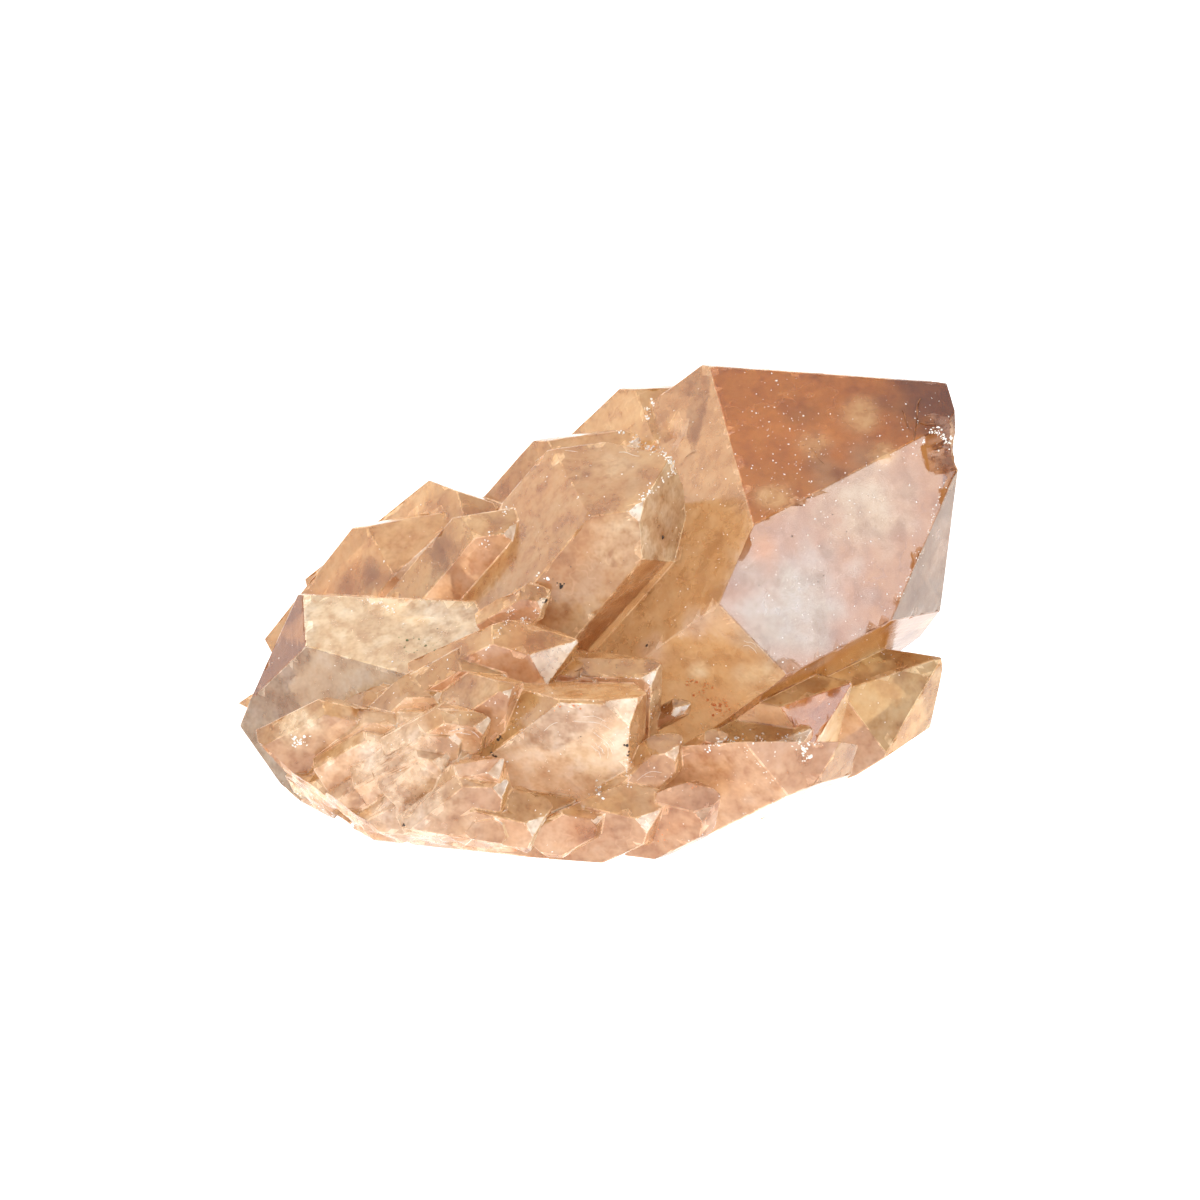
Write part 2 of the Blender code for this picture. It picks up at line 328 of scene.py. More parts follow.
def sculpt(thing):
    """Waves all over, chips along the edges, and nothing moved outside the model's box."""
    mesh = thing.data
    on_edge = near_edges(thing)
    places = read_points(mesh.vertices)
    normals = read_points(mesh.vertex_normals, "vector")
    met = [(seen(facet_tree, *spot), radius * MM, deep * MM) for spot, radius, deep in BITES]
    bites = [(found[0], radius, deep) for found, radius, deep in met if found]
    chipped = 0
    for number, (here, normal) in enumerate(zip(places, normals)):
        co = Vector(here)
        if co.z < FLOOR_GUARD:
            continue
        move = sum(noise.noise(co / size + WAVE_SHIFT) * height for size, height in WAVES)
        if on_edge[number]:
            coarse = noise.noise(co / CHIP_SIZE) * CHIP_SHARES[0]
            chip = coarse + noise.noise(co / (CHIP_SIZE * CHIP_FINER)) * CHIP_SHARES[1]
            if chip > CHIP_LEVEL:
                move -= CHIP_DEPTH * (chip - CHIP_LEVEL)
                chipped += 1
        facet = facet_tree.find_nearest(co)[1]
        if any(facet.dot(broken) > BREAK_LIMIT for broken in BREAK_NORMALS):
            move -= sum(abs(noise.noise(co / size)) * deep for size, deep in BREAK_ROUGHNESS)
        for middle, radius, deep in bites:
            near = 1 - (co - middle).length / radius
            if near > 0:
                move -= deep * min(1, 2 * near) * (0.6 + 0.4 * noise.noise(co / BITE_GRAIN))
        places[number] = here + normal * move
    places = np.clip(places, np.array(cad_box[0]), np.array(cad_box[1]))
    mesh.vertices.foreach_set("co", places.astype(np.float32).ravel())
    mesh.update()
    return chipped


print("chipped points:", sculpt(crystals))

# %% [markdown]
# ## Smooth or sharp
#
# The waves should look smooth and the crystals' edges sharp. Shading smooth by angle does
# both: faces that meet at less than the angle are shaded as one.

# %% Shade smooth by angle
only(crystals)
bpy.ops.object.shade_smooth_by_angle(angle=SHARP)
print("size, mm:", [round(v / MM, 1) for v in crystals.dimensions])

# %% [markdown]
# ## A palette of stone
#
# The specimen has few colours, all of them close: smoke brown, honey, cream, milk, and a grey
# where a face is etched. Some tints are painted light: a white paints highlights on small cap
# faces, and two blue-greys paint the lamp's reflection on the large crystal's front cap.
# Naming them once keeps every later list short. They are
# written as sRGB hex values, as a colour picker shows them, and one function turns them to
# the linear values that Blender computes with.

# %% Named tints
TINTS = {
    "smoke": "CC8030", "umber": "985C20", "dark smoke": "783A08", "honey": "E6C08A",
    "tan": "EBC9A0", "peach": "F5D0B2", "rose": "EFCDB9", "cream": "F8ECD2",
    "milk": "FAECE0", "frost_and_painted_reflection": "78808C", "painted blue grey reflection": "A4AEBE", "lavender": "D8C6C2",
    "grey": "BFB5AC", "green": "C3BE92", "straw": "F0DDB6", "rust": "CC8750",
    "clear": "F9E8CC", "amber": "D8B184", "dim lavender": "8C7B74", "painted_glint": "FFFFFF",
    "bone": "C2C0B0",
}


def colour(code, alpha=1.0):
    """A linear colour from an sRGB hex value such as D9B38C."""
    parts = [int(code[i:i + 2], 16) / 255 for i in (0, 2, 4)]
    linear = [v / 12.92 if v <= 0.04045 else ((v + 0.055) / 1.055) ** 2.4 for v in parts]
    return (*linear, alpha)


def tint(name):
    """A named tint as a linear array of three."""
    return np.array(colour(TINTS[name])[:3])


print("tints:", len(TINTS))

# %% [markdown]
# ## A tint and a haze for each facet
#
# No two faces of a specimen look alike: one is smoky, the next creamy or etched grey. The
# growth conditions differ for each kind of face, so faces of the same kind look related.
# Each facet gets a tint and a haze by its kind, then a small change by chance, and the
# large facets that the view shows are named one by one. They are found by looking at a
# place of the view and asking which facet is there. Some of these looks are painted light:
# a white highlight on small cap faces, and the lamp's grey-blue reflection over the etched
# grey of the large crystal's front cap.

# %% A tint and a haze for each facet
# kind of face, tint, haze: the first cap face mirrors the lamp, and its white tint and haze also
# paint a highlight on it; the second is looked through
KINDS = [
    (CAPS[0], "painted_glint", 0.40), (CAPS[1], "honey", 0.10), (CAPS[2], "tan", 0.15),
    (PRISM[0], "peach", 0.18), (PRISM[1], "honey", 0.12), (PRISM[5], "tan", 0.15),
]
# a place on the facet (right, up), its tint and its haze
NAMED_FACETS = [
    # the front cap's grey-blue tint is partly the etched face's own grey and partly a painted
    # reflection of the softbox
    ((21.5, 14.9), "smoke", 0.02), ((22.4, 3.7), "frost_and_painted_reflection", 0.30),
    ((31.8, 3.6), "dim lavender", 0.15), ((9.3, 11.2), "amber", 0.10),
    ((9.3, -3.7), "amber", 0.10), ((23.3, -3.7), "umber", 0.02),
    # three small cap faces below get the white tint and a haze of 0.90: a painted highlight
    ((0.0, 12.1), "honey", 0.12), ((0.5, 5.1), "cream", 0.50), ((3.5, 8.2), "painted_glint", 0.90),
    ((7.7, -10.4), "painted_glint", 0.90), ((-4.2, -5.2), "painted_glint", 0.90),
    ((7.5, 8.4), "cream", 0.30), ((-2.8, -0.9), "tan", 0.08), ((-18.7, -2.8), "cream", 0.45),
    ((-26.1, -8.4), "grey", 0.30), ((-31.2, -6.5), "umber", 0.05), ((-7.5, -3.7), "honey", 0.10),
    ((-2.8, -14.0), "milk", 0.35), ((27.1, -8.4), "straw", 0.15), ((27.1, -9.6), "straw", 0.20),
    ((29.4, -9.3), "straw", 0.15), ((19.8, -10.0), "smoke", 0.05), ((26.0, -4.2), "umber", 0.0),
    ((24.3, -5.2), "umber", 0.0),
    ((21.0, -10.3), "smoke", 0.05), ((18.7, -17.7), "rose", 0.20), ((9.3, -18.7), "rose", 0.25),
]
KIND_LIMIT = 0.965
# facets of no known kind, such as the breaks, take one of these by chance
OTHER_TINTS, OTHER_HAZE = ["tan", "honey", "peach", "clear"], 0.15
TINT_SPREAD, HAZE_SPREAD = (0.88, 1.10), (-0.05, 0.20)
rng = random.Random(11)


def facet_look(normal):
    """Tint and haze of a facet by its kind, changed a little by chance."""
    near = [(tint(name), haze) for kind, name, haze in KINDS if kind.dot(normal) > KIND_LIMIT]
    base, haze = near[0] if near else (tint(rng.choice(OTHER_TINTS)), OTHER_HAZE)
    return base * rng.uniform(*TINT_SPREAD), haze + rng.uniform(*HAZE_SPREAD)


looks = [facet_look(normal) for normal in facet_normals]
for spot, name, haze in NAMED_FACETS:
    met = seen(facet_tree, *spot)
    if met:
        looks[met[2]] = (tint(name), haze)
facet_tints = np.array([look[0] for look in looks])
facet_hazes = np.array([look[1] for look in looks])
print("facets with a look:", len(looks))

# %% [markdown]
# ## Soft stains
#
# Smoke, milk and iron stains don't stop at an edge of a face. They are soft clouds, painted
# on the points by their distance from a place of the view, with a bit of noise so that no
# cloud is a ball. A later stain is laid over the earlier ones, as paint is. Two of the
# clouds are painted light, not stain: a blue-grey one paints the lamp's reflection, and a
# cream one brightens a face that lies in shade.

# %% Where the soft stains are
# place (right, up), radius in mm, tint, strength, haze
STAINS = [
    ((31.0, 18.2), 5.5, "dark smoke", 0.95, 0.0), ((24.4, 17.2), 2.6, "honey", 0.85, 0.20),
    ((17.7, 10.5), 6.0, "umber", 0.45, 0.0), ((24.3, 9.3), 6.0, "bone", 0.60, 0.05),
    # the blue-grey cloud at (18.0, -0.5) is a painted reflection of the bluish softbox
    ((18.0, -0.5), 7.5, "painted blue grey reflection", 0.80, 0.05), ((15.4, 4.7), 1.8, "smoke", 0.60, -0.3),
    ((31.8, 5.0), 3.4, "lavender", 0.50, 0.1), ((31.0, -1.9), 2.4, "green", 0.60, 0.0),
    ((25.2, -5.6), 2.6, "green", 0.40, 0.0), ((9.3, -6.5), 1.2, "cream", 0.90, 0.5),
    ((14.5, -7.0), 2.0, "cream", 0.70, 0.4), ((8.9, -2.0), 2.0, "lavender", 0.60, 0.3),
    ((5.0, -4.8), 2.0, "lavender", 0.60, 0.3), ((1.9, 5.6), 3.2, "cream", 0.60, 0.3),
    # the cream cloud at (-2.3, -1.6) is painted light: it brightens a face that lies in shade
    ((-2.3, -1.6), 4.0, "cream", 0.60, 0.2), ((-23.6, 1.6), 1.8, "umber", 0.70, 0.0),
    ((-21.4, 2.1), 2.0, "dark smoke", 0.70, 0.0), ((-19.0, 2.2), 2.0, "umber", 0.75, 0.0),
    ((20.0, 14.6), 2.0, "honey", 0.75, 0.20),
    ((26.5, 13.8), 1.8, "honey", 0.75, 0.20), ((16.5, 9.7), 2.0, "honey", 0.75, 0.20),
    ((22.5, 11.8), 1.6, "umber", 0.90, 0.0), ((19.5, 17.5), 2.4, "umber", 0.75, 0.0),
    ((27.2, 18.0), 1.8, "umber", 0.85, 0.0),
    ((-14.2, 4.7), 3.0, "umber", 0.60, 0.0), ((-28.0, -11.4), 3.2, "cream", 0.90, 0.5),
    ((-7.5, -3.7), 3.0, "smoke", 0.35, 0.0), ((-2.8, -14.0), 5.5, "milk", 0.50, 0.10),
    ((-18.7, -16.8), 9.0, "milk", 0.75, 0.45), ((8.0, -17.7), 7.0, "peach", 0.40, 0.1),
    ((-1.9, -21.6), 2.6, "rust", 0.70, 0.0), ((15.9, -12.6), 3.0, "umber", 0.60, 0.0),
    ((27.0, -8.4), 4.0, "straw", 0.50, 0.1), ((-27.5, -18.2), 3.4, "cream", 0.60, 0.2),
    ((11.5, -9.8), 2.2, "rust", 0.45, 0.0), ((2.0, 13.0), 4.0, "straw", 0.40, 0.15),
]
STAIN_REACH = 1.15
WANDER_SIZE, STAIN_WANDER = 2.2 * MM, 0.45
print("stains:", len(STAINS))

# %% [markdown]
# ## Painting
#
# The facets' look is stored on the corners of the faces, because it changes sharply at an
# edge. The stains are stored on the points, because they run softly over edges. The narrow
# edges themselves are painted pale in places, again by noise: partly wear, and partly a
# painted highlight where edges catch the light. Prism faces are also marked, because growth
# lines run across them and not across the caps.

# %% Paint the facets and the stains
# edges are painted pale where this noise, of this size, is above its level: wear, and a painted
# highlight
WEAR_AND_HIGHLIGHT_SIZE, WEAR_AND_HIGHLIGHT_LEVEL, WEAR_AND_HIGHLIGHT_HAZE, WEAR_AND_HIGHLIGHT_TINT = 2.5 * MM, -0.15, 0.55, 1.12
# a prism face stands nearly square to the long axis, and caps have only faint lines
PRISM_LIMIT, PRISM_LINES, CAP_LINES = 0.3, 1.0, 0.2


def paint_stains(mesh):
    """Soft tints as (red, green, blue, strength) and haze for every point of the mesh."""
    places = read_points(mesh.vertices).astype(float)
    wander = np.array([noise.noise(Vector(co) / WANDER_SIZE) for co in places])
    paint, haze = np.zeros((len(places), 4)), np.zeros(len(places))
    for spot, radius, name, strength, more_haze in STAINS:
        met = seen(facet_tree, *spot)
        if not met:
            continue
        away = np.linalg.norm(places - np.array(met[0]), axis=1) / (radius * MM)
        weight = np.clip(STAIN_REACH - away + wander * STAIN_WANDER, 0, 1)
        weight = weight * weight * (3 - 2 * weight) * strength
        total = paint[:, 3] + weight * (1 - paint[:, 3])
        old = paint[:, :3] * (paint[:, 3] * (1 - weight))[:, None]
        paint[:, :3] = (old + tint(name) * weight[:, None]) / np.maximum(total, 1e-6)[:, None]
        paint[:, 3] = total
        haze += weight * more_haze / strength
    return paint, haze


def paint_crystals(thing):
    """Store the facet look on the corners and the stains on the points."""
    mesh = thing.data
    stains, haze = paint_stains(mesh)
    layer = mesh.color_attributes.new(name="stain", type="FLOAT_COLOR", domain="POINT")
    layer.data.foreach_set("color", stains.astype(np.float32).ravel())
    owners = [facet_tree.find_nearest(face.center)[2] for face in mesh.polygons]
    # edge faces where the noise is high are painted pale: wear and a painted highlight
    worn_and_lit = np.array([face.normal.dot(facet_normals[owner]) < math.cos(SHARP / 2)
                     and noise.noise(face.center / WEAR_AND_HIGHLIGHT_SIZE) > WEAR_AND_HIGHLIGHT_LEVEL
                     for face, owner in zip(mesh.polygons, owners)])
    worn_and_lit = np.repeat(worn_and_lit, 3)
    corners = np.empty(len(mesh.loops), np.int32)
    mesh.loops.foreach_get("vertex_index", corners)
    facet = np.repeat(np.array(owners), 3)
    milky = np.clip(facet_hazes[facet] + haze[corners] + worn_and_lit * WEAR_AND_HIGHLIGHT_HAZE, 0, 1)
    tints = facet_tints[facet] * np.where(worn_and_lit, WEAR_AND_HIGHLIGHT_TINT, 1.0)[:, None]
    look = np.column_stack((tints, milky))
    layer = mesh.color_attributes.new(name="facet", type="FLOAT_COLOR", domain="CORNER")
    layer.data.foreach_set("color", look.astype(np.float32).ravel())
    prism = np.array([abs(facet_normals[owner].dot(C_AXIS)) < PRISM_LIMIT for owner in owners])
    layer = mesh.attributes.new("striated", "FLOAT", "FACE")
    layer.data.foreach_set("value", np.where(prism, PRISM_LINES, CAP_LINES).astype(np.float32))


paint_crystals(crystals)
print("painted:", [layer.name for layer in crystals.data.color_attributes])

# %% [markdown]
# ## Materials: one helper for nodes
#
# One function adds any node to a material, with its settings, its links, its plain values
# and, for a colour ramp, its stops. A ramp starts with two stops, so its ends are given
# first and the middle last. Writing it once keeps each material down to what is special
# about it.


# %% Node helper
def add(tree, kind, settings=None, links=None, fixed=None, stops=None, **values):
    """Add a node with its settings, links as (node, output), inputs and ramp stops."""
    node = tree.nodes.new(kind)
    for name, value in (settings or {}).items():
        setattr(node, name, value)
    for number, value in (fixed or {}).items():
        node.inputs[number].default_value = value
    for name, value in values.items():
        node.inputs[name.replace("_", " ")].default_value = value
    for name, (source, output) in (links or {}).items():
        tree.links.new(source.outputs[output], node.inputs[name])
    for number, (position, code) in enumerate(stops or ()):
        elements = node.color_ramp.elements
        element = elements[number] if number < len(elements) else elements.new(position)
        element.position = position
        element.color = colour(code)
    return node


def new_material(name):
    """An empty node material with its output node."""
    material = bpy.data.materials.new(name)
    material.use_nodes = True
    tree = material.node_tree
    tree.nodes.clear()
    return material, tree, add(tree, "ShaderNodeOutputMaterial")


# %% [markdown]
# ## Milky citrine: what colours the stone
#
# The real stone is natural quartz with smoke and iron in it, its faces as grown and never
# polished. Its colour isn't even: clouds some 7 mm wide, wisps of nearly 3 mm and a mottling
# of about 1 mm lie over each other. Three noises of those sizes are multiplied onto the
# painted tints, so that no face is one flat colour. The finest real flaws are thinner than a
# pixel, so the mottling is drawn as coarse as it needs to be to show.

# %% Milky citrine: colour
CLOUD_SIZE, WISP_SIZE, MOTTLE_SIZE = 7 * MM, 2.8 * MM, 1.1 * MM
CLOUD_SHARE, WISP_SHARE, MOTTLE_SHARE = 0.55, 0.75, 0.40

# natural quartz, as grown: gives a warm, half-clear body with glossy but uneven faces
material, tree, output = new_material("milky_citrine")
coords = add(tree, "ShaderNodeTexCoord")
space = {"Vector": (coords, "Object")}
facet = add(tree, "ShaderNodeAttribute", {"attribute_name": "facet"})
stain = add(tree, "ShaderNodeAttribute", {"attribute_name": "stain"})
clouds = add(tree, "ShaderNodeTexNoise", links=space, Scale=1 / CLOUD_SIZE, Detail=2.0,
             Roughness=0.6)
wisps = add(tree, "ShaderNodeTexNoise", links=space, Scale=1 / WISP_SIZE, Detail=3.0,
            Roughness=0.6)
mottle = add(tree, "ShaderNodeTexNoise", links=space, Scale=1 / MOTTLE_SIZE, Detail=2.0,
             Roughness=0.75)
cloud_tone = add(tree, "ShaderNodeValToRGB", links={"Fac": (clouds, "Fac")},
                 stops=((0.32, "E3C5A2"), (0.68, "FFF9F1"), (0.50, "F7E7D1")))
wisp_tone = add(tree, "ShaderNodeValToRGB", links={"Fac": (wisps, "Fac")},
                stops=((0.34, "C8A27A"), (0.64, "FFFCFA"), (0.50, "F6E6D0")))
mottle_tone = add(tree, "ShaderNodeValToRGB", links={"Fac": (mottle, "Fac")},
                  stops=((0.30, "D9B994"), (0.72, "FFFFFF"), (0.50, "FAF4EA")))
stone = add(tree, "ShaderNodeMixRGB", {"blend_type": "MIX"}, {
    "Fac": (stain, "Alpha"), "Color1": (facet, "Color"), "Color2": (stain, "Color")})
for layer, share in ((cloud_tone, CLOUD_SHARE), (wisp_tone, WISP_SHARE),
                     (mottle_tone, MOTTLE_SHARE)):
    stone = add(tree, "ShaderNodeMixRGB", {"blend_type": "MULTIPLY"},
                {"Color1": (stone, "Color"), "Color2": (layer, "Color")}, Fac=share)
print("colour nodes:", len(tree.nodes))

# %% [markdown]
# ## Milky citrine: what makes it milky
#
# Fine healed cracks scatter light inside the stone. They show as a haze over a whole face
# and as thin veil lines that wander over it. A veil line is drawn where a noise crosses its
# middle value, which is a thin curve, and only inside some of the clouds. Haze and lines
# share one mask, and where it is high the stone turns paler.

# %% Milky citrine: haze and veil lines
VEIL_SIZE = 5 * MM
MILK_SHARE, MILK_TINT = 0.8, colour("8C8378")

veil_noise = add(tree, "ShaderNodeTexNoise", links=space, Scale=1 / VEIL_SIZE, Detail=3.0,
                 Roughness=0.65)
veils = add(tree, "ShaderNodeValToRGB", links={"Fac": (veil_noise, "Fac")},
            stops=((0.484, "000000"), (0.516, "000000"), (0.5, "FFFFFF")))
patches = add(tree, "ShaderNodeValToRGB", links={"Fac": (clouds, "Fac")},
              stops=((0.48, "000000"), (0.62, "7C7C7C")))
haze_cloud = add(tree, "ShaderNodeValToRGB", links={"Fac": (mottle, "Fac")},
                 stops=((0.30, "505050"), (0.65, "FFFFFF")))
lines = add(tree, "ShaderNodeMixRGB", {"blend_type": "MULTIPLY"},
            {"Color1": (veils, "Color"), "Color2": (patches, "Color")}, Fac=1.0)
haze = add(tree, "ShaderNodeMixRGB", {"blend_type": "MULTIPLY"},
           {"Color1": (facet, "Alpha"), "Color2": (haze_cloud, "Color")}, Fac=1.0)
milk = add(tree, "ShaderNodeMixRGB", {"blend_type": "SCREEN"},
           {"Color1": (haze, "Color"), "Color2": (lines, "Color")}, Fac=1.0)
pale = add(tree, "ShaderNodeMixRGB", {"blend_type": "SCREEN"}, {"Color1": (stone, "Color")},
           Fac=MILK_SHARE, Color2=MILK_TINT)
stone = add(tree, "ShaderNodeMixRGB", {"blend_type": "MIX"}, {
    "Fac": (milk, "Color"), "Color1": (stone, "Color"), "Color2": (pale, "Color")})
print("colour and milk nodes:", len(tree.nodes))

# %% [markdown]
# ## Milky citrine: how clear and how glossy it is
#
# Quartz is a clear stone with an index of refraction of 1.544. Here it is only half clear,
# so the surface passes most light and scatters the rest, less clear and rougher where the
# milk mask is high. A plain absorption inside takes blue light away, so that thick parts
# turn brown and thin ones stay pale. Growth lines run across the prism faces, square to the
# long axis. Real ones are a tenth of a millimetre apart and finer, and they are drawn about
# half a millimetre apart, so that they show.

# %% Milky citrine: clearness, roughness and growth lines
QUARTZ_IOR = 1.544
GROWTH_STEP, RELIEF_HEIGHT = 0.55 * MM, 0.03 * MM
SMOKE_COLOUR, SMOKE_DENSITY = (0.84, 0.73, 0.54, 1.0), 18.0

clearness = add(tree, "ShaderNodeMapRange", links={"Value": (milk, "Color")},
                From_Min=0.0, From_Max=0.9, To_Min=0.63, To_Max=0.18)
gloss = add(tree, "ShaderNodeMapRange", links={"Value": (wisps, "Fac")},
            From_Min=0.3, From_Max=0.7, To_Min=0.20, To_Max=0.05)
dull = add(tree, "ShaderNodeMapRange", links={"Value": (milk, "Color")},
           From_Min=0.0, From_Max=0.8, To_Min=0.0, To_Max=0.22)
roughness = add(tree, "ShaderNodeMath", {"operation": "ADD"},
                {0: (gloss, "Result"), 1: (dull, "Result")})
along = add(tree, "ShaderNodeVectorMath", {"operation": "DOT_PRODUCT"},
            {0: (coords, "Object")}, {1: tuple(C_AXIS)})
steps = add(tree, "ShaderNodeTexNoise", {"noise_dimensions": "1D"}, {"W": (along, "Value")},
            Scale=1 / GROWTH_STEP, Detail=1.0)
striated = add(tree, "ShaderNodeAttribute", {"attribute_name": "striated"})
growth = add(tree, "ShaderNodeMath", {"operation": "MULTIPLY"},
             {0: (steps, "Fac"), 1: (striated, "Fac")})
height = add(tree, "ShaderNodeMath", {"operation": "ADD"},
             {0: (growth, "Value"), 1: (mottle, "Fac")})
relief = add(tree, "ShaderNodeBump", links={"Height": (height, "Value")}, Strength=0.55,
             Distance=RELIEF_HEIGHT)
body = add(tree, "ShaderNodeBsdfPrincipled",
           links={"Base Color": (stone, "Color"), "Roughness": (roughness, "Value"),
                  "Transmission Weight": (clearness, "Result"), "Normal": (relief, "Normal")},
           IOR=QUARTZ_IOR)
inside = add(tree, "ShaderNodeVolumeAbsorption", Color=SMOKE_COLOUR, Density=SMOKE_DENSITY)
tree.links.new(body.outputs["BSDF"], output.inputs["Surface"])
tree.links.new(inside.outputs["Volume"], output.inputs["Volume"])
print("nodes in the stone:", len(tree.nodes))

# %% [markdown]
# ## The crystals are ready
#
# The finished copy takes the place of the plain model's solid and stands on the same body.

# %% Dress the crystals
crystals.data.materials.clear()
crystals.data.materials.append(material)
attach(crystals, "root")
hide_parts(CAD_NODE)
print("piece:", crystals.name)

# %% [markdown]
# ## Grains: crust, dust and specks
#
# Everything that lies on the specimen is a grain: white quartz powder where an edge was
# bruised, dust, orange iron rust, black and green specks. One rough grain of twenty faces
# serves for all. It is a ball with its points pushed about, and it is made once.

# %% One rough grain
GRAIN_ROUGHNESS = 0.28

bpy.ops.object.select_all(action="DESELECT")
bpy.ops.mesh.primitive_ico_sphere_add(subdivisions=1, radius=1.0)
grain_model = bpy.context.object
bpy.ops.object.mode_set(mode="EDIT")
bpy.ops.mesh.select_all(action="SELECT")
bpy.ops.transform.vertex_random(offset=GRAIN_ROUGHNESS, seed=4)
bpy.ops.object.mode_set(mode="OBJECT")
GRAIN_POINTS = read_points(grain_model.data.vertices)
GRAIN_FACES = np.array([tuple(face.vertices) for face in grain_model.data.polygons])
bpy.data.objects.remove(grain_model, do_unlink=True)
print("faces of a grain:", len(GRAIN_FACES))

# %% [markdown]
# ## Where a grain may lie
#
# A grain lies on a face of the finished crystals, half sunk into it, turned and squashed by
# chance, so that no two look alike. A second search tree, of the finished crystals this
# time, tells where the faces are. A grain that would stick out of the model's box is left
# out.

# %% Place one grain
surface = BVHTree.FromPolygons([v.co for v in crystals.data.vertices],
                               [tuple(f.vertices) for f in crystals.data.polygons])
BOX_LOW, BOX_HIGH = (Vector(corner) for corner in cad_box)
# the room that a grain needs, and its length, width and height, all in times its size
GRAIN_ROOM = 1.6
GRAIN_LENGTH, GRAIN_WIDTH, GRAIN_HEIGHT = (0.6, 1.4), (0.5, 1.1), (0.6, 1.2)
FLATNESS = 0.6


def lies_inside(point, margin):
    """True if a ball of this size round the point stays in the model's box."""
    return all(low + margin < v < high - margin for v, low, high in zip(point, BOX_LOW, BOX_HIGH))


def grain_spot(point, normal, size):
    """Placement of one grain on a face: turned by chance, squashed, half sunk."""
    upright = normal.to_track_quat("Z", "Y").to_matrix()
    turn = upright @ Matrix.Rotation(rng.uniform(0, 6.3), 3, "Z")
    shape = Matrix.Diagonal([size * rng.uniform(*GRAIN_LENGTH), size * rng.uniform(*GRAIN_WIDTH),
                             size * FLATNESS * rng.uniform(*GRAIN_HEIGHT)])
    spot = (turn @ shape).to_4x4()
    spot.translation = point
    return spot


print("faces to lie on:", len(crystals.data.polygons))

# %% [markdown]
# ## Many grains, one piece
#
# Hundreds of grains of one mineral are one piece with one mesh. That keeps the scene light,
# and each grain still has its own place and shape.

# %% Scatter grains
def scatter(name, spots, material):
    """One object with a copy of the grain at each placement, ready for the model."""
    points = [GRAIN_POINTS @ np.array(m.to_3x3()).T + np.array(m.translation) for m in spots]
    faces = [GRAIN_FACES + number * len(GRAIN_POINTS) for number in range(len(spots))]
    mesh = bpy.data.meshes.new(name)
    mesh.from_pydata(np.concatenate(points).tolist(), [], np.concatenate(faces).tolist())
    thing = bpy.data.objects.new(name, mesh)
    bpy.context.scene.collection.objects.link(thing)
    mesh.materials.append(material)
    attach(thing, "root")
    print(name, "grains:", len(spots))


# %% [markdown]
# ## Materials of the grains
#
# Each grain is a dull mineral or dust, with two close colours that a small noise runs
# between. That is enough at their size: what counts is how light or dark they are against
# the stone, and that they don't shine.

# %% Materials of the grains
def grain_material(name, dark, light, size, roughness):
    """A dull mineral that varies between two colours."""
    material, tree, output = new_material(name)
    coords = add(tree, "ShaderNodeTexCoord")
    pattern = add(tree, "ShaderNodeTexNoise", links={"Vector": (coords, "Object")},
                  Scale=1 / size, Detail=3.0)
    tone = add(tree, "ShaderNodeValToRGB", links={"Fac": (pattern, "Fac")},
               stops=((0.35, dark), (0.65, light)))
    shader = add(tree, "ShaderNodeBsdfPrincipled", links={"Base Color": (tone, "Color")},
                 Roughness=roughness)
    tree.links.new(shader.outputs["BSDF"], output.inputs["Surface"])
    return material


# quartz crushed by a knock: a bright white crust
quartz_powder = grain_material("quartz_powder", "E6DCCB", "FFFFFF", 0.4 * MM, 0.75)
# dust of the room, fallen and never wiped: pale matt points
house_dust = grain_material("house_dust", "E9DFD0", "FFFFFF", 1.5 * MM, 0.9)
# iron oxide grown in the crevices: orange crumbs
iron_rust = grain_material("iron_rust", "BE6430", "E39A62", 0.3 * MM, 0.85)
# tiny crystals of a dark iron mineral: nearly black points with a slight shine
dark_mineral = grain_material("dark_mineral", "15110E", "3A2E26", 0.3 * MM, 0.6)
# flakes of chlorite grown on the slab: a dull moss green
green_chlorite = grain_material("green_chlorite", "4E5A3A", "8A8F63", 0.4 * MM, 0.8)
print("minerals:", quartz_powder.name, iron_rust.name, dark_mineral.name, green_chlorite.name)

# %% [markdown]
# ## Bruised edges
#
# Where an edge was knocked, the stone is crushed to a white crust. Each bruised line is
# given by a few places of the view, with how many grains lie along it and how large they
# are. Grains on a line bunch together by noise, as the crust does.

